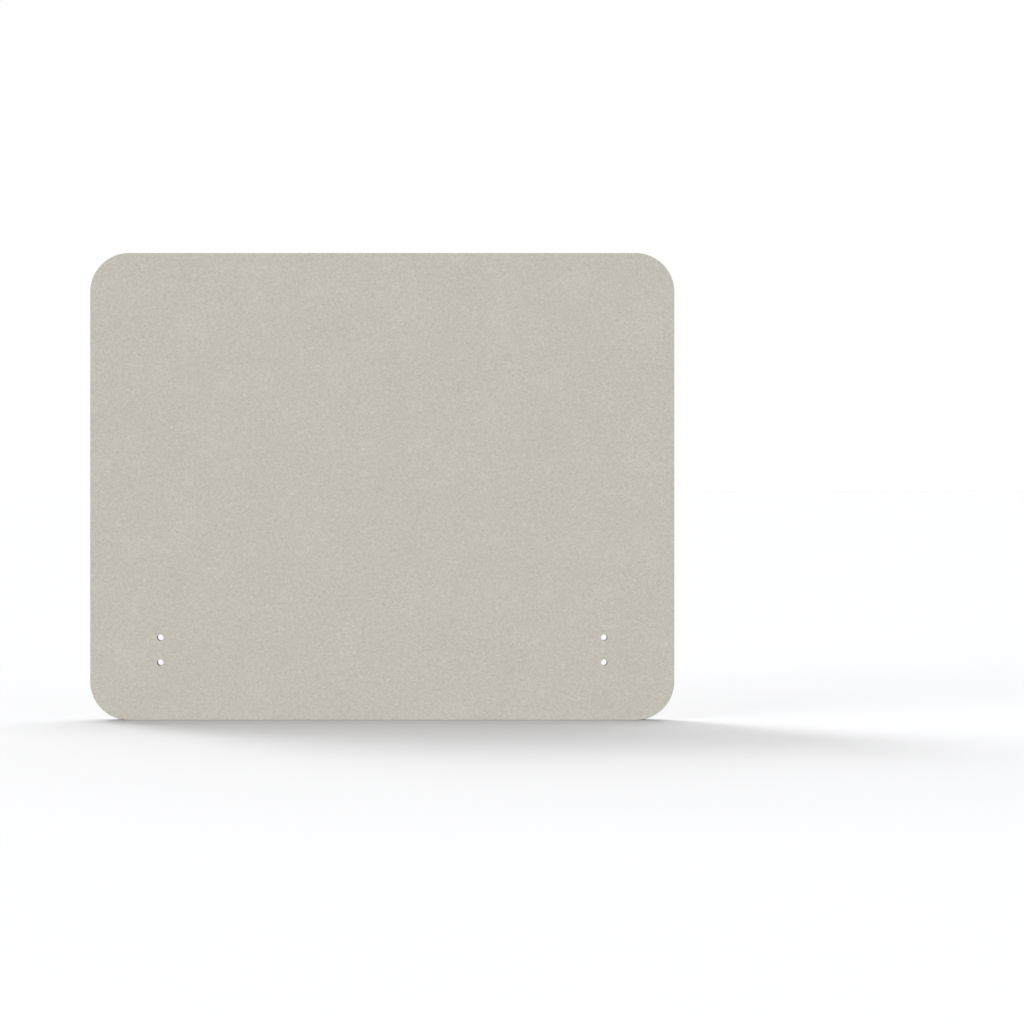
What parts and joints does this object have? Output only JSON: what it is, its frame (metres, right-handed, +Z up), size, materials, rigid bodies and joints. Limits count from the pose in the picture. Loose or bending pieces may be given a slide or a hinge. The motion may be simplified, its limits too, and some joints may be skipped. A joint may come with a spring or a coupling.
{
  "type": "acoustic divider screen",
  "caption": "Flat rectangular felt screen board with rounded corners, and bolt holes near its lower corners for a pair of brackets.",
  "frame": {"origin": "middle of the bottom edge, halfway through the thickness", "axes": "+X along the width to the right as the front is seen, +Y from the front face to the back face, +Z up"},
  "size_m": [0.75, 0.012, 0.6],
  "materials": {
    "heathered_felt": "needled polyester felt, warm light grey, finely heathered, matt",
    "pressed_core": "hot-pressed polyester fibre board, warm mid grey, knife-cut edge",
    "glue_web": "melted adhesive web, pale warm grey, satin"
  },
  "bodies": {
    "root": {"front_felt_face": "heathered_felt", "front_glue_web": "glue_web", "core_board": "pressed_core", "back_glue_web": "glue_web", "back_felt_face": "heathered_felt"}
  },
  "joints": []
}
